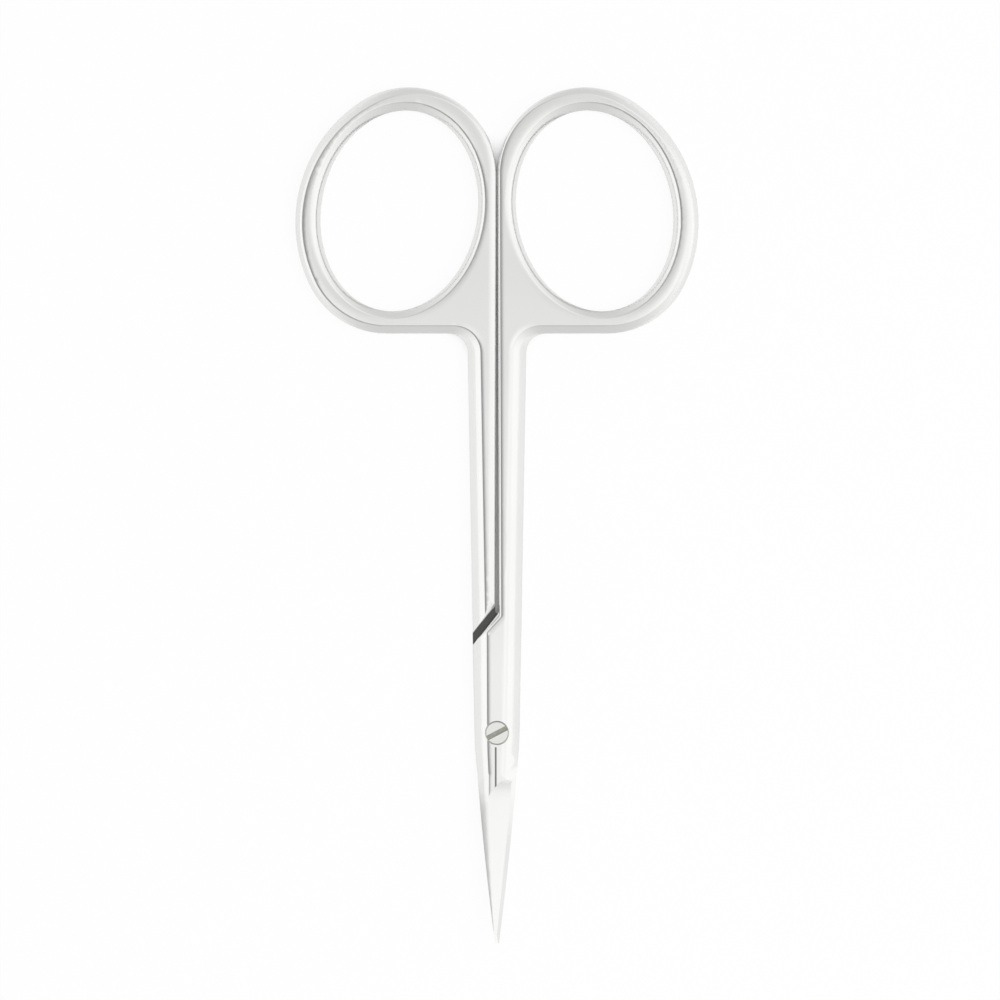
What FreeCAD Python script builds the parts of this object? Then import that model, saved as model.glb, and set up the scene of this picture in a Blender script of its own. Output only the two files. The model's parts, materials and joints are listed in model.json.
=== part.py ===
import FreeCAD, Part
import math
import os
import Sketcher

# Sizes are in millimetres and angles in degrees. The pivot axis is the z axis, x runs across the
# pair, y from the blade tips (negative) to the finger loops, z from the back face to the front.
SIZES = {
    # Both arms: flat front and back, sloping flanks and an upright belt along the outline
    "joint_thickness": 3.2,
    "lap_clearance": 0.08,
    "belt_height": 0.8,
    "inner_bevel": 0.2,
    "crease_radius": 0.3,
    # Finger loops: outer outline in three arcs, and an oval hole that leans to the middle
    "loop_top": 79.2,
    "loop_height": 30.2,
    "loop_reach": 24.75,
    "loop_flank": 0.85,
    "top_band": 2.8,
    "bottom_band": 2.7,
    "side_band": 3.05,
    "inner_band": 2.25,
    "hole_lean": 10.0,
    "hole_flank": 0.85,
    "hole_radius": 0.35,
    # Shanks and the gap between them, narrower at the loops than at the joint
    "neck_radius": 2.4,
    "neck_half_width": 3.6,
    "shank_flank": 1.62,
    "contact_gap": 0.1,
    "shank_gap": 0.5,
    # Lap joint: each arm's lobe lies over the other arm, below a notch under that arm's shoulder
    "joint_half_width": 2.78,
    "lobe_half_width": 2.95,
    "lobe_low": 10.75,
    "lobe_high": 14.85,
    "lobe_flank": 1.75,
    "lobe_end_flank": 0.65,
    "notch_outer": 1.45,
    "notch_inner": 0.6,
    "shoulder_flank": 0.5,
    # Blades: the root meets the joint, the side comes in to the waist, the edge and bend start at the heel
    "root_drop": 5.0,
    "root_half_width": 2.42,
    "root_flank": 1.42,
    "waist_drop": 6.2,
    "heel_drop": 8.0,
    "heel_edge": 1.72,
    "blade_length": 25.7,
    "blade_rise": 2.2,
    "tip_offset": 0.1,
    "tip_width": 0.14,
    "spine_radius": 400.0,
    "spine_height": 1.05,
    "spine_tip_height": 0.255,
    "spine_angle": 30.0,
    "relief_angle": 5.0,
    "bevel_angle": 28.8,
    "edge_land": 0.05,
    "runout_radius": 3.4,
    # Fine groove on the front face, from the screw to the bevel
    "groove_width": 0.22,
    "groove_depth": 0.08,
    "groove_offset": 0.16,
    "groove_start": 1.75,
    # Pivot screw, turning in the front arm and fixed in the rear arm
    "head_diameter": 2.85,
    "head_height": 0.95,
    "head_proud": 0.1,
    "head_chamfer": 0.12,
    "head_clearance": 0.07,
    "seat_clearance": 0.02,
    "shaft_diameter": 1.8,
    "turning_clearance": 0.03,
    "thread_diameter": 1.6,
    "thread_clearance": 0.01,
    "slot_width": 0.6,
    "slot_depth": 0.45,
    "slot_turn": 27.6,
    # How far cuts run past the metal, and how close two levels are to count as one
    "overrun": 1.0,
    "level_match": 0.01,
}
# Shares of a loop's width: the radii of its top and bottom arcs, and how far out the bottom arc turns
LOOP_SHARES = {
    "top_radius_share": 0.4373,
    "bottom_radius_share": 0.4251,
    "bottom_centre_share": 0.5472,
}

doc = FreeCAD.newDocument("cuticle_scissors")
sheet = doc.addObject("Spreadsheet::Sheet", "sizes")
for row, (alias, number) in enumerate([*SIZES.items(), *LOOP_SHARES.items()], start=1):
    sheet.set(f"A{row}", alias)
    sheet.set(f"B{row}", str(number))
    sheet.setAlias(f"B{row}", alias)
doc.recompute()

FRONT = 1
REAR = -1
UPWARDS = FreeCAD.Vector(0, 0, 1)
MIDDLE = "sizes.joint_thickness / 2"
HALF_DEPTH = "(sizes.joint_thickness - sizes.lap_clearance) / 2"
HALF_BELT = "sizes.belt_height / 2"
HALF_LAP = "sizes.lap_clearance / 2"
FLANK_DROP = "(sizes.joint_thickness - sizes.belt_height) / 2"


def value(formula):
    """The number that a formula in sheet names has now."""
    return float(sheet.evalExpression(formula))


def level_of(hand, depth):
    """Height at a depth from the middle plane, towards the face where this arm's lobe lies."""
    return f"{MIDDLE} + {hand} * ({depth})"


def new_sketch(body, name, role, level=None):
    """Empty sketch on one of the body's origin planes, raised to a level."""
    plane = next(feature for feature in body.Origin.OriginFeatures if feature.Role == role)
    sketch = body.newObject("Sketcher::SketchObject", name)
    sketch.AttachmentSupport = [(plane, "")]
    sketch.MapMode = "FlatFace"
    if level:
        sketch.setExpression("AttachmentOffset.Base.z", level)
    return sketch


def bind(sketch, kind, *target, formula):
    """Add a dimension to a sketch and drive it by a formula."""
    number = sketch.addConstraint(Sketcher.Constraint(kind, *target, value(formula)))
    sketch.setExpression(f"Constraints[{number}]", formula)


class Outline:
    """A closed chain of lines and arcs in a sketch, with its sizes bound to the sheet.

    Points are given for the front arm, and the rear arm's hand mirrors them. An edge is its
    number in the sketch with the codes of its start and its end along the chain.
    """

    def __init__(self, body, name, role, level=None, hand=FRONT):
        self.sketch = new_sketch(body, name, role, level)
        self.hand = hand
        self.edges = []

    def point(self, spot):
        return FreeCAD.Vector(self.hand * spot[0], spot[1], 0)

    def line(self, start, end, helper=False):
        number = self.sketch.addGeometry(Part.LineSegment(self.point(start), self.point(end)), helper)
        edge = (number, 1, 2)
        if not helper:
            self.edges.append(edge)
        return edge

    def arc(self, centre, start, end, anticlockwise):
        """Arc about a centre, with its turn as seen on the front arm."""
        forward = anticlockwise == (self.hand == FRONT)
        middle = self.point(centre)
        spots = (start, end) if forward else (end, start)
        first, last = [self.point(spot) - middle for spot in spots]
        begin = math.atan2(first.y, first.x)
        finish = math.atan2(last.y, last.x)
        if finish < begin:
            finish += 2 * math.pi
        circle = Part.Circle(middle, UPWARDS, first.Length)
        number = self.sketch.addGeometry(Part.ArcOfCircle(circle, begin, finish), False)
        edge = (number, 1, 2) if forward else (number, 2, 1)
        self.edges.append(edge)
        return edge

    def place(self, edge, part, across=None, along=None):
        """Fix a start, end or centre of an edge across and along the sketch."""
        code = {"start": edge[1], "end": edge[2], "centre": 3}[part]
        if across:
            bind(self.sketch, "DistanceX", -1, 1, edge[0], code, formula=f"{self.hand} * ({across})")
        if along:
            bind(self.sketch, "DistanceY", -1, 1, edge[0], code, formula=along)

    def radius(self, edge, formula):
        bind(self.sketch, "Radius", edge[0], formula=formula)

    def on_pivot_line(self, edge, part):
        """Keep a start or end of an edge on the line across the pivot."""
        code = edge[1] if part == "start" else edge[2]
        self.sketch.addConstraint(Sketcher.Constraint("PointOnObject", edge[0], code, -1))

    def join(self, edge, following, kind):
        self.sketch.addConstraint(Sketcher.Constraint(kind, edge[0], edge[2], following[0], following[1]))

    def close(self, smooth=()):
        """Join each edge to the next, without a corner where the pair is listed as smooth."""
        for pair in zip(self.edges, self.edges[1:] + self.edges[:1]):
            self.join(*pair, "Tangent" if pair in smooth else "Coincident")
        doc.recompute()
        return self.sketch


def polygon(body, name, role, corners, level=None):
    """Sketch of straight sides between corners given by formulas."""
    outline = Outline(body, name, role, level)
    spots = [(value(across), value(along)) for across, along in corners]
    for start, end in zip(spots, spots[1:] + spots[:1]):
        outline.line(start, end)
    for edge, (across, along) in zip(outline.edges, corners):
        outline.place(edge, "start", across, along)
    return outline.close()


def pad(body, name, profile, length, reverse=False):
    feature = body.newObject("PartDesign::Pad", name)
    feature.Profile = profile
    feature.setExpression("Length", length)
    feature.Reversed = reverse
    doc.recompute()


def pocket(body, name, profile, length=None):
    """Cut down from a sketch by a length, or through the arm on both sides of it."""
    feature = body.newObject("PartDesign::Pocket", name)
    feature.Profile = profile
    if length:
        feature.setExpression("Length", length)
    else:
        feature.Type = "ThroughAll"
        feature.SideType = "Symmetric"
    doc.recompute()
    return feature


def loft(body, name, profile, section):
    feature = body.newObject("PartDesign::AdditiveLoft", name)
    feature.Profile = profile
    feature.Sections = [section]
    feature.Ruled = True
    doc.recompute()


def rounds(body, name, radius, levels, rims_only=False):
    """Round an arm's edges that lie at some heights, except at its foot where the blade follows."""
    base = body.Tip
    match = value("sizes.level_match")
    foot = -value("sizes.root_drop")
    heights = [value(level) for level in levels]
    chosen = []
    for number, edge in enumerate(base.Shape.Edges, start=1):
        box = edge.BoundBox
        at_level = any(max(abs(box.ZMin - height), abs(box.ZMax - height)) < match for height in heights)
        if at_level and box.YMax > foot + match and (edge.isClosed() or not rims_only):
            chosen.append(f"Edge{number}")
    feature = body.newObject("PartDesign::Fillet", name)
    feature.Base = (base, chosen)
    feature.setExpression("Radius", radius)
    doc.recompute()


# The outline at the belt, and the crease where the flanks reach the flat face
LOOP_WIDTH = "(sizes.loop_reach - sizes.contact_gap / 2)"
BELT = {
    "contact": "sizes.contact_gap / 2",
    "gap": "sizes.shank_gap / 2",
    "top": "sizes.loop_top",
    "reach": "sizes.loop_reach",
    "bottom": "sizes.loop_top - sizes.loop_height",
    "top_radius": f"sizes.top_radius_share * {LOOP_WIDTH}",
    "bottom_radius": f"sizes.bottom_radius_share * {LOOP_WIDTH}",
    "bottom_centre": f"sizes.contact_gap / 2 + sizes.bottom_centre_share * {LOOP_WIDTH}",
    "neck_radius": "sizes.neck_radius",
    "neck": "sizes.neck_half_width",
    "joint": "sizes.joint_half_width",
    "root": "sizes.root_half_width",
    "lobe": "sizes.lobe_half_width",
    "lobe_low": "sizes.lobe_low",
    "lobe_high": "sizes.lobe_high",
    "shoulder_low": "sizes.lobe_low + sizes.notch_outer",
    "shoulder_high": "sizes.lobe_high + sizes.notch_inner",
}
CREASE = {
    "contact": f"{BELT['contact']} + sizes.inner_bevel",
    "gap": f"{BELT['gap']} + sizes.inner_bevel",
    "top": f"{BELT['top']} - sizes.loop_flank",
    "reach": f"{BELT['reach']} - sizes.loop_flank",
    "bottom": f"{BELT['bottom']} + sizes.loop_flank",
    "top_radius": f"{BELT['top_radius']} - sizes.loop_flank",
    "bottom_radius": f"{BELT['bottom_radius']} - sizes.loop_flank",
    "bottom_centre": BELT["bottom_centre"],
    "neck_radius": f"{BELT['neck_radius']} + sizes.loop_flank",
    "neck": f"{BELT['neck']} - sizes.shank_flank",
    "joint": f"{BELT['joint']} - sizes.shank_flank",
    "root": f"{BELT['root']} - sizes.root_flank",
    "lobe": f"{BELT['lobe']} - sizes.lobe_flank",
    "lobe_low": f"{BELT['lobe_low']} + sizes.lobe_flank",
    "lobe_high": f"{BELT['lobe_high']} - sizes.lobe_end_flank",
    "shoulder_low": f"{BELT['shoulder_low']} + sizes.shank_flank + sizes.shoulder_flank",
    "shoulder_high": f"{BELT['shoulder_high']} + sizes.shoulder_flank",
}


def side_centre(reach, upper, upper_radius, lower, lower_radius):
    """Centre and radius of the arc that goes out to a reach and touches the arcs above and below it."""
    upper_room = reach - upper[0] - upper_radius
    lower_room = reach - lower[0] - lower_radius
    square = 1 / upper_room - 1 / lower_room
    slope = upper[1] / upper_room - lower[1] / lower_room
    rest = upper[1] ** 2 / upper_room - lower[1] ** 2 / lower_room
    rest += 2 * (upper_radius - lower_radius) + upper_room - lower_room
    along = (slope - math.sqrt(slope ** 2 - square * rest)) / square
    radius = upper_radius + ((upper[1] - along) ** 2 + upper_room ** 2) / (2 * upper_room)
    return (reach - radius, along), radius


def loop_edges(outline, form, begin):
    """Inner line, loop and neck of an arm; returns their chain and where the shank starts."""
    size = {name: value(formula) for name, formula in form.items()}
    top = (size["contact"] + size["top_radius"], size["top"] - size["top_radius"])
    low = (size["bottom_centre"], size["bottom"] + size["bottom_radius"])
    side, side_radius = side_centre(size["reach"], top, size["top_radius"], low, size["bottom_radius"])
    neck = (size["neck"] + size["neck_radius"], size["bottom"] - size["neck_radius"])

    def side_end(centre, radius):
        """Where the side arc meets an arc about another centre."""
        stretch = side_radius / (side_radius - radius)
        return tuple(middle + stretch * (other - middle) for middle, other in zip(side, centre))

    pivot_end = (size["gap"], 0)
    inner_start = (size["gap"], value(begin))
    contact = (size["contact"], top[1])
    side_start = side_end(top, size["top_radius"])
    low_start = side_end(low, size["bottom_radius"])
    bottom_start = (low[0], size["bottom"])
    neck_start = (neck[0], size["bottom"])
    shank_start = (size["neck"], neck[1])
    below = outline.line(pivot_end, inner_start, helper=True)
    outermost = outline.line((size["reach"], low[1]), (size["reach"], top[1]), helper=True)
    inner = outline.line(inner_start, contact)
    top_arc = outline.arc(top, contact, side_start, False)
    side_arc = outline.arc(side, side_start, low_start, False)
    low_arc = outline.arc(low, low_start, bottom_start, False)
    bottom = outline.line(bottom_start, neck_start)
    neck_arc = outline.arc(neck, neck_start, shank_start, True)

    outline.place(below, "start", form["gap"])
    outline.on_pivot_line(below, "start")
    outline.join(below, inner, "Tangent")
    outline.place(inner, "start", None, begin)
    outline.place(inner, "end", form["contact"])
    outline.place(top_arc, "centre", None, f"{form['top']} - ({form['top_radius']})")
    outline.place(outermost, "start", form["reach"], f"{form['bottom']} + {form['bottom_radius']}")
    outline.place(outermost, "end", form["reach"], f"{form['top']} - ({form['top_radius']})")
    outline.sketch.addConstraint(Sketcher.Constraint("Tangent", outermost[0], side_arc[0]))
    outline.place(low_arc, "centre", form["bottom_centre"])
    outline.place(bottom, "start", None, form["bottom"])
    outline.place(neck_arc, "end", form["neck"])
    outline.sketch.addConstraint(Sketcher.Constraint("Horizontal", bottom[0]))
    outline.radius(top_arc, form["top_radius"])
    outline.radius(low_arc, form["bottom_radius"])
    outline.radius(neck_arc, form["neck_radius"])
    return [inner, top_arc, side_arc, low_arc, bottom, neck_arc], shank_start


def lobe_outline(body, name, hand, level, form):
    """Loop, shank and joint with the lobe, down to the blade root."""
    outline = Outline(body, name, "XY_Plane", level, hand)
    chain, shank_start = loop_edges(outline, form, form["lobe_high"])
    drop = -value("sizes.root_drop")
    joint = (value(form["joint"]), 0)
    root = (value(form["root"]), drop)
    lobe_root = (-root[0], drop)
    lobe_joint = (-joint[0], 0)
    lobe = (-value(form["lobe"]), value(form["lobe_low"]))
    narrowing = joint[0] - root[0]
    swell = (drop ** 2 + narrowing ** 2) / (2 * narrowing)

    shank = outline.line(shank_start, joint)
    curve = outline.arc((joint[0] - swell, 0), joint, root, False)
    foot = outline.line(root, lobe_root)
    lobe_curve = outline.arc((swell - joint[0], 0), lobe_root, lobe_joint, False)
    lobe_side = outline.line(lobe_joint, lobe)
    outline.line(lobe, (value(form["gap"]), value(form["lobe_high"])))

    outline.place(shank, "end", form["joint"])
    outline.on_pivot_line(shank, "end")
    outline.place(foot, "start", form["root"], "-sizes.root_drop")
    outline.place(foot, "end", f"-({form['root']})", "-sizes.root_drop")
    outline.place(lobe_side, "start", f"-({form['joint']})")
    outline.on_pivot_line(lobe_side, "start")
    outline.place(lobe_side, "end", f"-({form['lobe']})", form["lobe_low"])
    chain += [shank, curve]
    return outline.close(list(zip(chain, chain[1:])) + [(lobe_curve, lobe_side)])


def shoulder_outline(body, name, hand, level, form):
    """Loop and shank down to the shoulder, a notch away from the other arm's lobe."""
    outline = Outline(body, name, "XY_Plane", level, hand)
    chain, shank_start = loop_edges(outline, form, form["shoulder_high"])
    joint = (value(form["joint"]), 0)
    low = value(form["shoulder_low"])
    corner = (joint[0] + (shank_start[0] - joint[0]) * low / shank_start[1], low)

    shank = outline.line(shank_start, corner)
    shoulder = outline.line(corner, (value(form["gap"]), value(form["shoulder_high"])))
    below = outline.line(corner, joint, helper=True)
    outline.place(shoulder, "start", None, form["shoulder_low"])
    outline.place(below, "end", form["joint"])
    outline.on_pivot_line(below, "end")
    outline.join(shank, below, "Tangent")
    chain.append(shank)
    return outline.close(list(zip(chain, chain[1:])))


def build_handle(body, hand):
    """Loop, shank and joint half: a slab at the belt and flanks towards both faces."""
    belt = lobe_outline(body, "lobe_belt", hand, level_of(hand, HALF_BELT), BELT)
    crease = lobe_outline(body, "lobe_crease", hand, level_of(hand, MIDDLE), CREASE)
    pad(body, "lobe_slab", belt, f"{HALF_BELT} - {HALF_LAP}", hand == FRONT)
    loft(body, "lobe_flanks", belt, crease)
    belt = shoulder_outline(body, "shoulder_belt", hand, level_of(-hand, HALF_BELT), BELT)
    crease = shoulder_outline(body, "shoulder_crease", hand, level_of(-hand, MIDDLE), CREASE)
    pad(body, "shoulder_slab", belt, f"{HALF_BELT} + {HALF_LAP}", hand == REAR)
    loft(body, "shoulder_flanks", belt, crease)


def build_finger_hole(body, hand):
    """Leaning oval within the loop's bands, with flanks out to both faces."""
    outer = "sizes.loop_reach - sizes.side_band"
    inner = "sizes.contact_gap / 2 + sizes.inner_band"
    upper = "sizes.loop_top - sizes.top_band"
    lower = "sizes.loop_top - sizes.loop_height + sizes.bottom_band"
    lean = "sizes.hole_lean * 1deg"
    half_wide = f"(({outer}) - ({inner})) / 2"
    half_tall = f"(({upper}) - ({lower})) / 2"
    length = f"2 * sqrt((({half_tall} * cos({lean}))^2 - ({half_wide} * sin({lean}))^2) / cos(2 * {lean}))"
    width = f"2 * sqrt((({half_wide} * cos({lean}))^2 - ({half_tall} * sin({lean}))^2) / cos(2 * {lean}))"

    sketch = new_sketch(body, "finger_oval", "XY_Plane")
    turned = FreeCAD.Rotation(UPWARDS, hand * value("sizes.hole_lean"))
    sketch.AttachmentOffset = FreeCAD.Placement(FreeCAD.Vector(), turned)
    sketch.setExpression("AttachmentOffset.Base.x", f"{hand} * (({outer}) + ({inner})) / 2")
    sketch.setExpression("AttachmentOffset.Base.y", f"(({upper}) + ({lower})) / 2")
    sketch.setExpression("AttachmentOffset.Rotation.Angle", f"{hand} * {lean}")
    tall = FreeCAD.Vector(0, value(length) / 2, 0)
    wide = FreeCAD.Vector(value(width) / 2, 0, 0)
    oval = sketch.addGeometry(Part.Ellipse(tall, wide, FreeCAD.Vector()), False)
    sketch.exposeInternalGeometry(oval)
    long_axis = oval + 1
    short_axis = oval + 2
    sketch.addConstraint(Sketcher.Constraint("Coincident", oval, 3, -1, 1))
    sketch.addConstraint(Sketcher.Constraint("Vertical", long_axis))
    bind(sketch, "Distance", long_axis, formula=length)
    bind(sketch, "Distance", short_axis, formula=width)
    doc.recompute()
    hole = pocket(body, "finger_hole", sketch)

    rims = [f"Edge{number}" for number, edge in enumerate(hole.Shape.Edges, start=1) if edge.isClosed()]
    flanks = body.newObject("PartDesign::Chamfer", "finger_flanks")
    flanks.Base = (hole, rims)
    flanks.ChamferType = "Two distances"
    flanks.setExpression("Size", "sizes.hole_flank")
    flanks.setExpression("Size2", FLANK_DROP)
    doc.recompute()


def blade_outline(body, hand):
    """Blade from the front: cutting edge on one side, bowed spine on the other."""
    level = level_of(hand, HALF_LAP) if hand == FRONT else None
    outline = Outline(body, "blade_plan", "XY_Plane", level, hand)
    root = (value("sizes.root_half_width"), -value("sizes.root_drop"))
    heel = (value("sizes.heel_edge"), -value("sizes.heel_drop"))
    waist = (heel[0], -value("sizes.waist_drop"))
    edge_tip = (-value("sizes.tip_offset"), -value("sizes.blade_length"))
    spine_tip = (edge_tip[0] - value("sizes.tip_width"), edge_tip[1])
    spine_root = (-root[0], root[1])
    across = spine_root[0] - spine_tip[0]
    along = spine_root[1] - spine_tip[1]
    chord = math.hypot(across, along)
    inward = math.sqrt(value("sizes.spine_radius") ** 2 - chord ** 2 / 4) / chord
    centre = ((spine_root[0] + spine_tip[0]) / 2 + along * inward,
              (spine_root[1] + spine_tip[1]) / 2 - across * inward)

    side = outline.line(root, waist)
    outline.line(waist, heel)
    edge = outline.line(heel, edge_tip)
    tip = outline.line(edge_tip, spine_tip)
    spine = outline.arc(centre, spine_tip, spine_root, False)
    foot = outline.line(spine_root, root)
    outline.place(side, "start", "sizes.root_half_width", "-sizes.root_drop")
    outline.place(side, "end", "sizes.heel_edge", "-sizes.waist_drop")
    outline.place(edge, "start", "sizes.heel_edge", "-sizes.heel_drop")
    outline.place(tip, "start", "-sizes.tip_offset", "-sizes.blade_length")
    outline.place(tip, "end", "-sizes.tip_offset - sizes.tip_width", "-sizes.blade_length")
    outline.place(foot, "start", "-sizes.root_half_width", "-sizes.root_drop")
    outline.radius(spine, "sizes.spine_radius")
    return outline.close()


BENT_LENGTH = "(sizes.blade_length - sizes.heel_drop)"
BEND_RADIUS = f"({BENT_LENGTH}^2 + sizes.blade_rise^2) / (2 * sizes.blade_rise)"
FRONT_FAR = "2 * sizes.joint_thickness + sizes.blade_rise + sizes.overrun"
BACK_FAR = "-sizes.joint_thickness - sizes.overrun"


def grind(body, name, hand, heights, slope="0", inner=False, runout=False):
    """Cut the blade blank back to a plane that bends with the blade beyond the heel.

    The heights at root and heel are measured from the arm's lapped face on the pivot line, and the
    slope is the rise across the blade. A run-out lifts the cut off before the root, as a wheel does.
    """
    far = FRONT_FAR if (hand == FRONT) != inner else BACK_FAR
    root_level, heel_level = [level_of(hand, f"{HALF_LAP} + {height}") for height in heights]
    root = (-value("sizes.root_drop"), value(root_level))
    heel = (-value("sizes.heel_drop"), value(heel_level))
    end = -value("sizes.blade_length + sizes.overrun")
    bend = value(BEND_RADIUS)
    lean = math.atan2(root[1] - heel[1], root[0] - heel[0])
    centre = (heel[0] - bend * math.sin(lean), heel[1] + bend * math.cos(lean))
    finish = (end, centre[1] - math.sqrt(bend ** 2 - (end - centre[0]) ** 2))

    outline = Outline(body, f"{name}_profile", "YZ_Plane")
    straight = outline.line(root, heel, helper=runout)
    begin = straight
    lift = root
    if runout:
        reach = value("sizes.runout_radius")
        turn = (heel[0] - hand * reach * math.sin(lean), heel[1] + hand * reach * math.cos(lean))
        lift = (turn[0] + reach, turn[1])
        begin = outline.arc(turn, lift, heel, hand == REAR)
    curve = outline.arc(centre, heel, finish, False)
    outline.line(finish, (end, value(far)))
    across = outline.line((end, value(far)), (lift[0], value(far)))
    back = outline.line((lift[0], value(far)), lift)
    outline.place(straight, "start", "-sizes.root_drop", root_level)
    outline.place(straight, "end", "-sizes.heel_drop", heel_level)
    outline.place(across, "start", "-sizes.blade_length - sizes.overrun", far)
    outline.place(curve, "end", "-sizes.blade_length - sizes.overrun")
    outline.radius(curve, BEND_RADIUS)
    outline.sketch.addConstraint(Sketcher.Constraint("Horizontal", across[0]))
    outline.sketch.addConstraint(Sketcher.Constraint("Vertical", back[0]))
    smooth = [(begin, curve)]
    if runout:
        outline.radius(begin, "sizes.runout_radius")
        outline.join(straight, curve, "Tangent")
        smooth.append((back, begin))

    cut = body.newObject("PartDesign::Pocket", name)
    cut.Profile = outline.close(smooth)
    cut.SideType = "Symmetric"
    cut.UseCustomVector = True
    cut.AlongSketchNormal = True
    cut.Direction = FreeCAD.Vector(1, 0, value(slope))
    cut.setExpression("Direction.z", slope)
    cut.setExpression("Length", "2 * (sizes.root_half_width + sizes.overrun)")
    doc.recompute()


def build_blade(body, hand):
    """Blank with its plan outline, ground on the inside, outside, flanks, spine and cutting bevel.

    The inside falls away from the cutting edge to the spine, so that only the edges meet.
    """
    pad(body, "blade_blank", blade_outline(body, hand), f"{HALF_DEPTH} + sizes.blade_rise + sizes.overrun")
    heel_run = "(sizes.heel_drop - sizes.root_drop)"
    flank_slope = f"{FLANK_DROP} / sizes.root_flank"
    flank_top = f"{HALF_DEPTH} + {flank_slope} * (sizes.root_half_width - sizes.root_flank)"
    edge_run = f"(sizes.heel_edge + sizes.tip_offset) / {BENT_LENGTH} * {heel_run}"
    relief_slope = "tan(sizes.relief_angle * 1deg)"
    relief_heel = f"{relief_slope} * sizes.heel_edge"
    relief_root = f"{relief_heel} + {relief_slope} * {edge_run}"
    bevel_slope = "tan(sizes.bevel_angle * 1deg)"
    bevel_heel = f"sizes.edge_land + {bevel_slope} * sizes.heel_edge"
    bevel_root = f"{bevel_heel} + {bevel_slope} * {edge_run}"
    spine_slope = "tan(sizes.spine_angle * 1deg)"
    spine_taper = "(sizes.root_half_width - sizes.tip_offset - sizes.tip_width)"
    spine_fall = f"(sizes.spine_height - sizes.spine_tip_height + {spine_slope} * {spine_taper})"
    spine_root = f"sizes.spine_height + {spine_slope} * sizes.root_half_width"
    spine_heel = f"{spine_root} - {spine_fall} * {heel_run} / (sizes.blade_length - sizes.root_drop)"
    grind(body, "inner_face", hand, (relief_root, relief_heel), f"-{relief_slope}", inner=True)
    grind(body, "outer_face", hand, (HALF_DEPTH, HALF_DEPTH))
    grind(body, "edge_flank", hand, (flank_top, flank_top), f"-{flank_slope}")
    grind(body, "spine_flank", hand, (flank_top, flank_top), flank_slope)
    grind(body, "spine_facet", hand, (spine_root, spine_heel), spine_slope)
    grind(body, "bevel", hand, (bevel_root, bevel_heel), f"-{bevel_slope}", runout=True)


def build_arm(name, hand):
    """One forged arm, rounded on its creases and inside its loop before the blade is ground."""
    body = doc.addObject("PartDesign::Body", name)
    body.Label = name
    build_handle(body, hand)
    build_finger_hole(body, hand)
    belts = (level_of(FRONT, HALF_BELT), level_of(REAR, HALF_BELT))
    rounds(body, "hole_rounds", "sizes.hole_radius", belts, rims_only=True)
    rounds(body, "crease_rounds", "sizes.crease_radius", ("0", "sizes.joint_thickness"))
    build_blade(body, hand)
    return body


def bore(body, name, diameter, depth=None):
    """Round hole on the pivot axis, through the arm or sunk from its front face."""
    sketch = new_sketch(body, f"{name}_circle", "XY_Plane", "sizes.joint_thickness")
    circle = sketch.addGeometry(Part.Circle(FreeCAD.Vector(), UPWARDS, value(diameter) / 2), False)
    sketch.addConstraint(Sketcher.Constraint("Coincident", circle, 3, -1, 1))
    bind(sketch, "Diameter", circle, formula=diameter)
    doc.recompute()
    pocket(body, name, sketch, depth)


def build_front_arm():
    body = build_arm("front_arm", FRONT)
    sink_depth = "sizes.head_height - sizes.head_proud + sizes.seat_clearance"
    bore(body, "head_sink", "sizes.head_diameter + 2 * sizes.head_clearance", sink_depth)
    bore(body, "turning_bore", "sizes.shaft_diameter + 2 * sizes.turning_clearance")
    left = "-sizes.groove_offset - sizes.groove_width / 2"
    right = "-sizes.groove_offset + sizes.groove_width / 2"
    corners = [(left, "-sizes.heel_drop"), (right, "-sizes.heel_drop"),
               (right, "-sizes.groove_start"), (left, "-sizes.groove_start")]
    groove = polygon(body, "groove_plan", "XY_Plane", corners, "sizes.joint_thickness")
    pocket(body, "face_groove", groove, "sizes.groove_depth")
    return body


def build_rear_arm():
    body = build_arm("rear_arm", REAR)
    bore(body, "thread_bore", "sizes.thread_diameter + 2 * sizes.thread_clearance")
    return body


def build_screw():
    """Slotted shoulder screw, turned to where it stood when it was tightened."""
    body = doc.addObject("PartDesign::Body", "pivot_screw")
    body.Label = "pivot_screw"
    body.Placement = FreeCAD.Placement(FreeCAD.Vector(), FreeCAD.Rotation(UPWARDS, value("sizes.slot_turn")))
    body.setExpression("Placement.Rotation.Angle", "sizes.slot_turn * 1deg")
    head_top = "sizes.joint_thickness + sizes.head_proud"
    head_under = f"{head_top} - sizes.head_height"
    head_radius = "sizes.head_diameter / 2"
    shaft_radius = "sizes.shaft_diameter / 2"
    thread_radius = "sizes.thread_diameter / 2"
    shaft_end = level_of(REAR, HALF_LAP)
    corners = [
        ("0", head_top),
        (f"{head_radius} - sizes.head_chamfer", head_top),
        (head_radius, f"{head_top} - sizes.head_chamfer"),
        (head_radius, head_under),
        (shaft_radius, head_under),
        (shaft_radius, shaft_end),
        (thread_radius, shaft_end),
        (thread_radius, "0"),
        ("0", "0"),
    ]
    profile = polygon(body, "screw_profile", "XZ_Plane", corners)
    turned = body.newObject("PartDesign::Revolution", "screw_turned")
    turned.Profile = profile
    turned.ReferenceAxis = (profile, ["V_Axis"])
    doc.recompute()
    reach = f"({head_radius} + sizes.overrun)"
    half_slot = "sizes.slot_width / 2"
    corners = [(f"-{reach}", f"-{half_slot}"), (reach, f"-{half_slot}"),
               (reach, half_slot), (f"-{reach}", half_slot)]
    pocket(body, "slot", polygon(body, "slot_plan", "XY_Plane", corners, head_top), "sizes.slot_depth")
    return body


pieces = [build_front_arm(), build_rear_arm(), build_screw()]
doc.recompute()
for item in doc.Objects:
    if {"Invalid", "Error"} & set(item.State):
        raise RuntimeError(f"{item.Label} did not build")
for piece in pieces:
    if piece.Shape.isNull() or not piece.Shape.isValid():
        raise RuntimeError(f"{piece.Label} is not a valid solid")

os.makedirs("parts", exist_ok=True)
for piece in pieces:
    piece.Shape.exportStep(f"parts/{piece.Label}.step")
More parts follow.
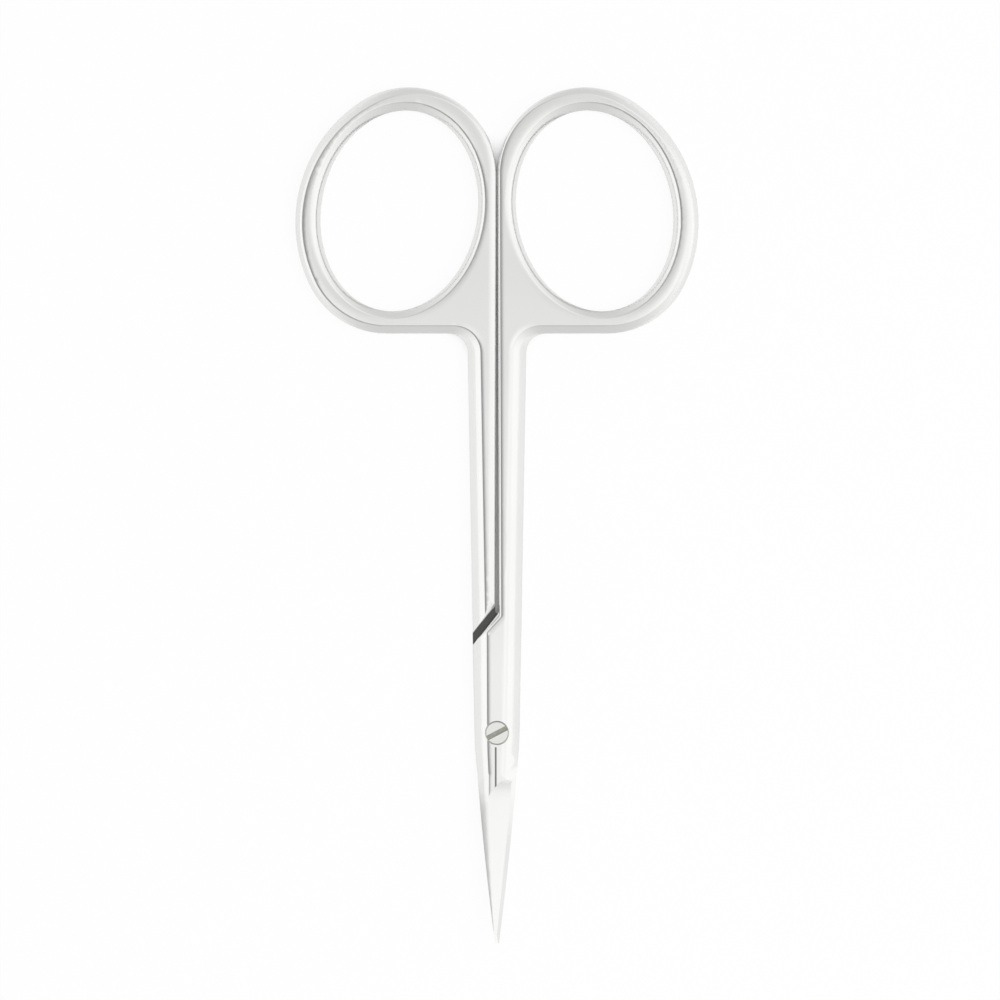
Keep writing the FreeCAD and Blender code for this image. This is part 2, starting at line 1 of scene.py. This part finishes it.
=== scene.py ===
import bpy
import json
import math
from collections import namedtuple
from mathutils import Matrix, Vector
from mathutils.kdtree import KDTree

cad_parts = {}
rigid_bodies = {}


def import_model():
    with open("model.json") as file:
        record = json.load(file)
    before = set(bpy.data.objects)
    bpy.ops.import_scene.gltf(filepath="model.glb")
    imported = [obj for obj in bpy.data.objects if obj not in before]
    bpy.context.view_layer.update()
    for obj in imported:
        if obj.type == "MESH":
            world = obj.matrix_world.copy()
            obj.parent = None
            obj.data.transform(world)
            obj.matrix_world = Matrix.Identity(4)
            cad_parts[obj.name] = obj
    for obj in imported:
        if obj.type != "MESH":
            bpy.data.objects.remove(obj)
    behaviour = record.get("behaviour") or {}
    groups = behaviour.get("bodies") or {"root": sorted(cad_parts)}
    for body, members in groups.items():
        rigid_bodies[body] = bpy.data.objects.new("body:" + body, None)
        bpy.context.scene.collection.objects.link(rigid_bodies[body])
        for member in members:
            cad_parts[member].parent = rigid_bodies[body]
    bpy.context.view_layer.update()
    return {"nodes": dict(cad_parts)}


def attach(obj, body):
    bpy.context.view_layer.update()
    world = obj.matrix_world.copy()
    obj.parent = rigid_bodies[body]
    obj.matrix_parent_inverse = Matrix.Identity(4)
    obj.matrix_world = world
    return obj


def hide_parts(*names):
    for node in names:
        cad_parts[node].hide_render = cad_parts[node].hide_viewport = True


for stray in list(bpy.data.objects):
    bpy.data.objects.remove(stray)
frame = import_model()


# The two arms
# Each arm is one stainless forging with a finger loop, shank, joint half and blade. Its flats and
# flanks are ground, then a soft wheel crowns the flats' rims and rolls the flanks over to the belt.
millimetre = 0.001
face_level = 3.2 * millimetre
half_level = face_level / 2
belt_half = 0.4 * millimetre
blade_root = -5.0 * millimetre
level_match = 0.004 * millimetre
flat_slope_most = math.radians(1.5)
flank_slope_most = math.radians(84.0)
spine_slope_least = math.radians(26.0)


def slope_of(polygon):
    """Angle between a face and the level."""
    return math.acos(min(abs(polygon.normal.z), 1))


def depth_of(spot):
    """Depth of a spot under the nearer of the front and back faces."""
    return max(half_level - abs(spot.z - half_level), 0)


def is_flank(polygon):
    """Whether a face is a rounded crease or flank, on the handle, joint or the blade's blunt side."""
    slope = slope_of(polygon)
    if polygon.center.y > blade_root:
        return flat_slope_most < slope < flank_slope_most
    return polygon.normal.x * polygon.normal.z < 0 and spine_slope_least < slope < flank_slope_most


# The wheel tilts the surface from the crown at a flat's rim, through the rounded crease, to the belt.
crown_tilt = math.radians(9.0)
shank_slope = math.radians(36.5)
loop_slope = math.radians(54.7)
gap_side_slope = math.radians(70.0)
crease_radius = 0.3 * millimetre
crease_depth = crease_radius * (1 - math.cos(shank_slope))
roll_start = math.radians(35.0)
shank_roll_end = math.radians(58.0)
loop_roll_end = math.radians(66.0)
gap_side_roll_end = math.radians(60.0)
loop_tip_roll_end = math.radians(44.0)


def held_share(share):
    """A share, held between none and all."""
    return min(max(share, 0), 1)


def part_way(first, second, share):
    """Number that lies a share of the way from a first to a second one."""
    return first + (second - first) * share


def rolled_tilt(depth, slope, tip_share):
    """Tilt that the wheel gives at a depth under the face; it rolls a loop's top and bottom less."""
    if depth < crease_depth:
        turned_share = math.acos(1 - depth / crease_radius) / shank_slope
        return part_way(crown_tilt * (1 - tip_share), roll_start, turned_share)
    if slope > gap_side_slope:
        roll_end = gap_side_roll_end
    else:
        loop_share = held_share((slope - shank_slope) / (loop_slope - shank_slope))
        roll_end = part_way(shank_roll_end, loop_roll_end, loop_share)
    roll_end = part_way(roll_end, loop_tip_roll_end, tip_share)
    fallen_share = held_share((depth - crease_depth) / (half_level - belt_half - crease_depth))
    return part_way(roll_start, roll_end, fallen_share)


# The blade's spine is ground once more along the outline, which tilts it further. Along that outline
# its colour is darkened, partly from a point down the blade and fully towards the tip: a painted
# shade. On the cutting side the roll runs out at the root of the blade.
grind_and_shade_start = -6.0 * millimetre
spine_shade_ramp_length = 4.0 * millimetre
run_out_length = 3.0 * millimetre


def spine_finish(spot, on_wall):
    """Tilt of a corner on a blade's spine, and the share of painted shade that it gets."""
    on_outline = on_wall and (spot.y < grind_and_shade_start or depth_of(spot) > crease_radius)
    if on_outline:
        return shank_roll_end, held_share((grind_and_shade_start - spot.y) / spine_shade_ramp_length)
    return roll_start, 0


def handle_tilt(spot, outward, slope, on_cutting_side):
    """Tilt of a corner on a flank of the handle or joint."""
    rolled_share = held_share((spot.y - blade_root) / run_out_length) if on_cutting_side else 1
    tip_share = (outward.y / outward.length) ** 2
    return part_way(slope, rolled_tilt(depth_of(spot), slope, tip_share), rolled_share)


def wheel_finish(polygon, spot, normal, on_wall):
    """Normal that the wheel leaves at a corner of a face, and the share of painted shade on the spine
    there.
    """
    outward = Vector((normal.x, normal.y, 0))
    if not is_flank(polygon) or outward.length == 0:
        return normal, 0
    side = math.copysign(1, polygon.normal.z)
    if polygon.center.y < blade_root:
        tilt, grind_share = spine_finish(spot, on_wall)
    else:
        tilt = handle_tilt(spot, outward, slope_of(polygon), normal.x * side > 0)
        grind_share = 0
    return outward.normalized() * math.sin(tilt) + Vector((0, 0, side * math.cos(tilt))), grind_share


# The crown reaches in from each flat's rim, so the flats are cut into triangles small enough for it.
crown_width = 0.6 * millimetre
rim_step = 0.12 * millimetre
flat_edge_most = 0.6 * millimetre
Corner = namedtuple("Corner", "place normal grind_share")


def flat_rims(source):
    """Tree of spots along the rims where flats meet rolled flanks, and the way out at each spot."""
    spots = []
    ways_out = []
    for polygon in filter(is_flank, source.polygons):
        outward = Vector((polygon.normal.x, polygon.normal.y, 0)).normalized()
        ends = [source.vertices[number].co for number in polygon.vertices]
        for first, second in zip(ends, ends[1:] + ends[:1]):
            if depth_of(first) < level_match and depth_of(second) < level_match:
                count = max(int((second - first).length / rim_step), 1)
                spots += [first.lerp(second, number / count) for number in range(count + 1)]
                ways_out += [outward] * (count + 1)
    rims = KDTree(len(spots))
    for number, spot in enumerate(spots):
        rims.insert(spot, number)
    rims.balance()
    return rims, ways_out


def crowned_normal(spot, normal, rims, ways_out):
    """Normal of a spot on a flat, which leans out near the rim, but not at a loop's top and bottom."""
    rim, reach = rims.find(spot)[1:]
    tilt = crown_tilt * (1 - ways_out[rim].y ** 2) * max(1 - reach / crown_width, 0)
    return ways_out[rim] * math.sin(tilt) + normal * math.cos(tilt)


def halved(triangle, middles):
    """Pieces of a triangle that is cut at the middles of its long edges."""
    for turn in range(len(triangle)):
        first, second, third = triangle[turn:] + triangle[:turn]
        middle = middles.get(frozenset((first.place, second.place)))
        if middle is not None:
            normal = first.normal.lerp(second.normal, 0.5).normalized()
            corner = Corner(middle, normal, (first.grind_share + second.grind_share) / 2)
            return halved((first, corner, third), middles) + halved((corner, second, third), middles)
    return [triangle]


def longest_edge(triangle, spots):
    """Length of a triangle's longest edge, and the places of its two ends."""
    pairs = [sorted((triangle[turn - 1].place, triangle[turn].place)) for turn in range(len(triangle))]
    lengths = [math.dist(spots[first], spots[second]) for first, second in pairs]
    return max(lengths), tuple(pairs[lengths.index(max(lengths))])


def cut_flats(flats, others, spots):
    """Flats and other triangles after each long edge of a flat is halved, with the new spots added."""
    while True:
        longest = [longest_edge(triangle, spots) for triangle, finish in flats]
        edges = {edge for length, edge in longest if length > flat_edge_most}
        if not edges:
            return flats, others
        middles = {}
        for first, second in sorted(edges):
            middles[frozenset((first, second))] = len(spots)
            spots.append(tuple((Vector(spots[first]) + Vector(spots[second])) / 2))
        flats = [(piece, finish) for triangle, finish in flats for piece in halved(triangle, middles)]
        others = [(piece, finish) for triangle, finish in others for piece in halved(triangle, middles)]


merge_digits = 8


def merged_spot(spot):
    """Rounded place, the same for all the loose triangles that meet at a spot."""
    return tuple(round(length, merge_digits) for length in spot)


def polished_arm(node, finish_of):
    """Copy of a CAD arm with its corners joined, its flats' rims crowned and its flanks rolled."""
    source = frame["nodes"][node].data
    walls = [polygon for polygon in source.polygons if slope_of(polygon) >= flank_slope_most]
    wall_spots = {merged_spot(source.vertices[number].co) for wall in walls for number in wall.vertices}
    places = {}
    flats = []
    others = []
    for polygon in source.polygons:
        triangle = []
        for loop, number in zip(polygon.loop_indices, polygon.vertices):
            spot = source.vertices[number].co
            merged = merged_spot(spot)
            place = places.setdefault(merged, len(places))
            ground = Vector(source.corner_normals[loop].vector)
            triangle.append(Corner(place, *wheel_finish(polygon, spot, ground, merged in wall_spots)))
        if len({corner.place for corner in triangle}) == len(triangle):
            is_flat = slope_of(polygon) <= flat_slope_most and depth_of(polygon.center) < level_match
            (flats if is_flat else others).append((tuple(triangle), finish_of(polygon)))
    spots = list(places)
    flats, others = cut_flats(flats, others, spots)
    triangles = [triangle for triangle, finish in others + flats]
    rims, ways_out = flat_rims(source)
    normals = [corner.normal for triangle, finish in others for corner in triangle]
    normals += [crowned_normal(spots[corner.place], corner.normal, rims, ways_out)
                for triangle, finish in flats for corner in triangle]
    mesh = bpy.data.meshes.new(f"polished_{node}")
    mesh.from_pydata(spots, [], [[corner.place for corner in triangle] for triangle in triangles])
    mesh.polygons.foreach_set("use_smooth", [True] * len(triangles))
    mesh.polygons.foreach_set("material_index", [finish for triangle, finish in others + flats])
    painted_shade_shares = [corner.grind_share for triangle in triangles for corner in triangle]
    mesh.attributes.new("spine_painted_shade_share", "FLOAT", "CORNER").data.foreach_set("value", painted_shade_shares)
    mesh.normals_split_custom_set(normals)
    mesh.update()
    arm = bpy.data.objects.new(f"polished_{node}", mesh)
    bpy.context.scene.collection.objects.link(arm)
    return arm


def feed(tree, socket, setting):
    """Set a socket, or link it where the setting is another node's output."""
    if isinstance(setting, bpy.types.NodeSocket):
        tree.links.new(setting, socket)
    else:
        socket.default_value = setting


def shader_node(tree, kind, **settings):
    """A node with some of its sockets fed, each by its name."""
    node = tree.nodes.new(kind)
    for name, setting in settings.items():
        feed(tree, node.inputs[name.replace("_", " ")], setting)
    return node


def mixed(tree, kind, share, first, second):
    """Mix of two colours or numbers by a share."""
    node = tree.nodes.new("ShaderNodeMix")
    node.data_type = kind
    sockets = [socket for socket in node.inputs if socket.enabled]
    for socket, setting in zip(sockets, (share, first, second)):
        feed(tree, socket, setting)
    return next(socket for socket in node.outputs if socket.enabled)


def ramp(tree, term, low, high, shape="LINEAR"):
    """Share of the way that a term has gone from a low to a high value."""
    node = shader_node(tree, "ShaderNodeMapRange", Value=term, From_Min=low, From_Max=high)
    node.interpolation_type = shape
    return node.outputs["Result"]


def object_place(tree):
    """Place of a spot in the part's own frame."""
    return tree.nodes.new("ShaderNodeTexCoord").outputs["Object"]


def place_parts(tree, place):
    """X, Y and Z of a place or heading."""
    return shader_node(tree, "ShaderNodeSeparateXYZ", Vector=place).outputs


# The polishing wheel leaves fine lines, a cloudy tone and slow waves on every steel.
cloud_scale = 160.0
wave_scale = 70.0
polish = bpy.data.node_groups.new("wheel_polish", "ShaderNodeTree")
polish.interface.new_socket("Stretch", in_out="INPUT", socket_type="NodeSocketVector")
for effect in ("Tone", "Scratches", "Waves"):
    polish.interface.new_socket(effect, in_out="OUTPUT", socket_type="NodeSocketFloat")
polish_in = polish.nodes.new("NodeGroupInput")
polish_out = polish.nodes.new("NodeGroupOutput")
polish_place = object_place(polish)
polish_stretch = shader_node(polish, "ShaderNodeMapping", Vector=polish_place,
                             Scale=polish_in.outputs["Stretch"])
polish_cloud = shader_node(polish, "ShaderNodeTexNoise", Vector=polish_place,
                           Scale=cloud_scale, Detail=2.0, Roughness=0.4)
polish_lines = shader_node(polish, "ShaderNodeTexNoise", Vector=polish_stretch.outputs["Vector"],
                           Scale=1.0, Detail=3.0, Roughness=0.6)
polish_waves = shader_node(polish, "ShaderNodeTexNoise", Vector=polish_place,
                           Scale=wave_scale, Detail=0.0)
for effect, noise in (("Tone", polish_cloud), ("Scratches", polish_lines), ("Waves", polish_waves)):
    polish.links.new(noise.outputs["Fac"], polish_out.inputs[effect])


def polished_steel(name, stretch, dark, light, smooth, rough, scratch_depth, wave_depth):
    """Polished stainless steel with wheel lines along one direction and slight waves from the hand."""
    material = bpy.data.materials.new(name)
    material.use_nodes = True
    tree = material.node_tree
    surface = tree.nodes["Principled BSDF"]
    surface.inputs["Metallic"].default_value = 1.0
    pattern = tree.nodes.new("ShaderNodeGroup")
    pattern.node_tree = polish
    pattern.inputs["Stretch"].default_value = stretch
    tone, scratches, waves = (pattern.outputs[effect] for effect in ("Tone", "Scratches", "Waves"))
    tree.links.new(mixed(tree, "RGBA", tone, dark, light), surface.inputs["Base Color"])
    gloss = shader_node(tree, "ShaderNodeMapRange", Value=scratches, To_Min=smooth, To_Max=rough)
    tree.links.new(gloss.outputs["Result"], surface.inputs["Roughness"])
    waved = shader_node(tree, "ShaderNodeBump", Height=waves, Distance=wave_depth)
    lined = shader_node(tree, "ShaderNodeBump", Height=scratches, Distance=scratch_depth,
                        Normal=waved.outputs["Normal"])
    tree.links.new(lined.outputs["Normal"], surface.inputs["Normal"])
    return material


def shade_over(material, mask, shade):
    """Mix a painted shade, a darker colour, into a steel's colour where a mask is set."""
    tree = material.node_tree
    colour = tree.nodes["Principled BSDF"].inputs["Base Color"]
    tree.links.new(mixed(tree, "RGBA", mask, colour.links[0].from_socket, shade), colour)


arm_steel = polished_steel("arm_steel", stretch=(9000.0, 250.0, 9000.0), dark=(0.9, 0.9, 0.89, 1),
                           light=(0.94, 0.94, 0.93, 1), smooth=0.12, rough=0.22,
                           scratch_depth=0.15e-6, wave_depth=0.03e-3)
# Painted shade: the arm's colour is darkened along the blade's spine by the share stored on its
# corners.
spine_painted_shade = (0.55, 0.55, 0.54, 1)
spine_painted_shade_share = arm_steel.node_tree.nodes.new("ShaderNodeAttribute")
spine_painted_shade_share.attribute_name = "spine_painted_shade_share"
shade_over(arm_steel, spine_painted_shade_share.outputs["Fac"], spine_painted_shade)

milled_steel = polished_steel("milled_steel", stretch=(400.0, 6000.0, 6000.0),
                              dark=(0.48, 0.48, 0.475, 1), light=(0.64, 0.64, 0.63, 1),
                              smooth=0.3, rough=0.45, scratch_depth=1.0e-6, wave_depth=0.02e-3)
# Painted shade: the milled steel is darkened towards the notch at the top of the lap, where the crevice
# lies in shade.
notch_painted_shade = (0.12, 0.12, 0.115, 1)
notch_start = 9.0 * millimetre
notch_end = 11.0 * millimetre
milled = milled_steel.node_tree
milled_parts = place_parts(milled, object_place(milled))
shade_over(milled_steel, ramp(milled, milled_parts["Y"], notch_start, notch_end), notch_painted_shade)

etched_steel = polished_steel("etched_steel", stretch=(8000.0, 8000.0, 8000.0),
                              dark=(0.26, 0.26, 0.255, 1), light=(0.42, 0.42, 0.41, 1),
                              smooth=0.4, rough=0.6, scratch_depth=0.8e-6, wave_depth=0.02e-3)

lap_reach = 0.06 * millimetre
lap_slope_most = math.radians(5.0)
lap_top = 16.0 * millimetre
groove_middle = -0.16 * millimetre
groove_reach = 0.14 * millimetre
groove_floor = 3.12 * millimetre
groove_top = -1.7 * millimetre
groove_low = -9.0 * millimetre
finishes = [arm_steel, milled_steel, etched_steel]


def arm_finish(polygon):
    """Number of a face's finish: milled on the lap, etched in the groove, polished elsewhere."""
    spot = polygon.center
    on_lap = abs(spot.z - half_level) < lap_reach and blade_root < spot.y < lap_top
    if on_lap and slope_of(polygon) < lap_slope_most:
        return finishes.index(milled_steel)
    in_groove = abs(spot.x - groove_middle) < groove_reach and groove_low < spot.y < groove_top
    if in_groove and groove_floor - level_match < spot.z < face_level - level_match:
        return finishes.index(etched_steel)
    return finishes.index(arm_steel)


for node, body in (("rear_arm", "rear"), ("front_arm", "front")):
    arm = polished_arm(node, arm_finish)
    for steel in finishes:
        arm.data.materials.append(steel)
    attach(arm, body)
    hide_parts(node)


# The pivot screw
# A turned steel screw with a flat head and a milled slot. It sits sunk in the front arm, is threaded
# into the rear arm, and its end lies level with the back.
screw_steel = polished_steel("screw_steel", stretch=(5000.0, 5000.0, 5000.0),
                             dark=(0.82, 0.82, 0.79, 1), light=(0.92, 0.92, 0.9, 1),
                             smooth=0.16, rough=0.28, scratch_depth=0.3e-6, wave_depth=0.02e-3)
# Painted shade: the slot and the rim of the head are darkened, with a noise mottling the shade, to
# stand in for the shade in the slot and round the sunk head.
painted_shade_dark = (0.26, 0.26, 0.22, 1)
painted_shade_light = (0.5, 0.5, 0.45, 1)
painted_shade_mottle_scale = 2600.0
slot_level = 3.2 * millimetre
head_low = 2.5 * millimetre
slot_blur = 0.06 * millimetre
rim_radius = 1.33 * millimetre
rim_blur = 0.05 * millimetre


def compute(tree, operation, *terms):
    """Result of a math node on terms that are numbers or other outputs."""
    node = tree.nodes.new("ShaderNodeMath")
    node.operation = operation
    for socket, term in zip(node.inputs, terms):
        feed(tree, socket, term)
    return node.outputs["Value"]


turned = screw_steel.node_tree
turned_place = object_place(turned)
turned_parts = place_parts(turned, turned_place)
from_axis = shader_node(turned, "ShaderNodeCombineXYZ", X=turned_parts["X"], Y=turned_parts["Y"])
radius = turned.nodes.new("ShaderNodeVectorMath")
radius.operation = "LENGTH"
turned.links.new(from_axis.outputs["Vector"], radius.inputs["Vector"])
below_top = ramp(turned, turned_parts["Z"], slot_level + slot_blur, slot_level - slot_blur)
in_head = ramp(turned, turned_parts["Z"], head_low - slot_blur, head_low + slot_blur)
on_rim = ramp(turned, radius.outputs["Value"], rim_radius - rim_blur, rim_radius + rim_blur)
in_slot = compute(turned, "MULTIPLY", below_top, in_head)
painted_shade_mottle = shader_node(turned, "ShaderNodeTexNoise", Vector=turned_place,
                         Scale=painted_shade_mottle_scale, Detail=2.0)
painted_shade_colour = mixed(turned, "RGBA", painted_shade_mottle.outputs["Fac"], painted_shade_dark, painted_shade_light)
shade_over(screw_steel, compute(turned, "MAXIMUM", in_slot, on_rim), painted_shade_colour)
screw = frame["nodes"]["pivot_screw"]
screw.data.materials.clear()
screw.data.materials.append(screw_steel)


# The tent
# A white cloth tent round the table: bright walls left and right, a ceiling that turns grey towards
# the back, and between them a ring that is darkest on the left.
ceiling_front_tone = 0.97
ceiling_back_change = -0.28
ceiling_back_from = -0.03
ceiling_back_to = 0.06
ceiling_right_change = 0.14
ceiling_right_to = 0.1
ring_tone = 0.66
ring_right_change = 0.35
ring_back_change = 0.08
ring_from = 0.09
ring_to = 0.16
wall_end_tone = 0.68
wall_side_change = 0.37
wall_from = 0.52
wall_to = 0.66
lift_least = 0.05
spread_least = 0.0001
world = bpy.data.worlds.new("tent")
bpy.context.scene.world = world
world.use_nodes = True
tent = world.node_tree
heading = place_parts(tent, tent.nodes.new("ShaderNodeTexCoord").outputs["Generated"])

# Each heading is measured by the slope of the face that would mirror it straight up.
lift = compute(tent, "MAXIMUM", compute(tent, "ADD", heading["Z"], 1.0), lift_least)
across = compute(tent, "DIVIDE", heading["X"], lift)
along = compute(tent, "DIVIDE", heading["Y"], lift)
spread = compute(tent, "SQRT", compute(tent, "ADD", compute(tent, "MULTIPLY", across, across),
                                       compute(tent, "MULTIPLY", along, along)))
spread = compute(tent, "MAXIMUM", spread, spread_least)
rightward = compute(tent, "DIVIDE", across, spread)
backward = compute(tent, "DIVIDE", along, spread)
ceiling_back = ramp(tent, along, ceiling_back_from, ceiling_back_to, "SMOOTHSTEP")
ceiling_right = ramp(tent, across, 0.0, ceiling_right_to, "SMOOTHSTEP")
ceiling = compute(tent, "MULTIPLY_ADD", ceiling_back, ceiling_back_change, ceiling_front_tone)
ceiling = compute(tent, "MULTIPLY_ADD", ceiling_right, ceiling_right_change, ceiling)
ring = compute(tent, "MULTIPLY_ADD", rightward, ring_right_change, ring_tone)
ring = compute(tent, "ADD", ring, compute(tent, "MULTIPLY", backward, ring_back_change))
sideways = compute(tent, "MULTIPLY", rightward, rightward)
walls = compute(tent, "MULTIPLY_ADD", sideways, wall_side_change, wall_end_tone)
upper = mixed(tent, "FLOAT", ramp(tent, spread, ring_from, ring_to, "SMOOTHSTEP"), ceiling, ring)
tone = mixed(tent, "FLOAT", ramp(tent, spread, wall_from, wall_to, "SMOOTHSTEP"), upper, walls)
tent.links.new(tone, tent.nodes["Background"].inputs["Strength"])
tent.nodes["Background"].inputs["Color"].default_value = (1, 1, 1, 1)


# The floor
# A wide matt board in a pale grey. The camera sees it almost white, except close beside the object,
# where its own grey and the shadow stay, and the steel mirrors it a little lighter than it is.
floor_half = 1.5
floor_level = -0.02 * millimetre
floor_colour = (0.7, 0.7, 0.695, 1)
crevice_reach = 4.0 * millimetre
open_least_share = 0.5
seen_glow_share = 0.95
mirrored_glow_share = 0.15
floor_corners = [(-floor_half, -floor_half, floor_level), (floor_half, -floor_half, floor_level),
                 (floor_half, floor_half, floor_level), (-floor_half, floor_half, floor_level)]
floor_mesh = bpy.data.meshes.new("floor")
floor_mesh.from_pydata(floor_corners, [], [tuple(range(len(floor_corners)))])
floor = bpy.data.objects.new("floor", floor_mesh)
bpy.context.scene.collection.objects.link(floor)
floor_paint = bpy.data.materials.new("floor_paint")
floor_paint.use_nodes = True
paint = floor_paint.node_tree
paint.nodes.clear()
matt = shader_node(paint, "ShaderNodeBsdfDiffuse", Color=floor_colour)
glow = shader_node(paint, "ShaderNodeEmission", Color=(1, 1, 1, 1), Strength=1.0)
rays = paint.nodes.new("ShaderNodeLightPath").outputs
crevice = shader_node(paint, "ShaderNodeAmbientOcclusion", Distance=crevice_reach)
open_share = ramp(paint, crevice.outputs["AO"], 0.0, open_least_share, "SMOOTHSTEP")
seen = compute(paint, "MULTIPLY", rays["Is Camera Ray"], seen_glow_share)
seen = compute(paint, "MULTIPLY", seen, open_share)
mirrored = compute(paint, "MAXIMUM", rays["Is Glossy Ray"], rays["Is Transmission Ray"])
mirrored = compute(paint, "MULTIPLY", mirrored, mirrored_glow_share)
blend = shader_node(paint, "ShaderNodeMixShader", Fac=compute(paint, "MAXIMUM", seen, mirrored))
for socket, shader in zip(blend.inputs[1:], (matt.outputs["BSDF"], glow.outputs["Emission"])):
    paint.links.new(shader, socket)
shader_node(paint, "ShaderNodeOutputMaterial", Surface=blend.outputs["Shader"])
floor_mesh.materials.append(floor_paint)


# The key lamp
# A square soft box, high on the right and a little in front. It gives the soft shadow on the floor,
# and the steel doesn't mirror it.
key_size = 0.7
key_power = 5.5
key_place = Vector((0.35, -0.1, 0.8))
key_aim = Vector((0, 0.028, 0))
key = bpy.data.lights.new("key", "AREA")
key.shape = "SQUARE"
key.size = key_size
key.energy = key_power
key_lamp = bpy.data.objects.new("key", key)
key_lamp.location = key_place
key_lamp.rotation_euler = (key_aim - key_place).to_track_quat("-Z", "Y").to_euler()
key_lamp.visible_glossy = False
bpy.context.scene.collection.objects.link(key_lamp)


# The camera
# It looks straight down on the object from well above, with a long lens, and its frame is as wide
# on the object's face as the photograph's.
frame_width = 0.1225
frame_middle = (0.0003675, 0.02854)
view_distance = 0.6
camera = bpy.data.cameras.new("camera")
camera.sensor_width = 36.0
camera.lens = camera.sensor_width * view_distance / frame_width
camera_object = bpy.data.objects.new("camera", camera)
camera_object.location = (*frame_middle, view_distance + face_level)
bpy.context.scene.collection.objects.link(camera_object)
bpy.context.scene.camera = camera_object
bpy.context.scene.view_settings.view_transform = "Standard"
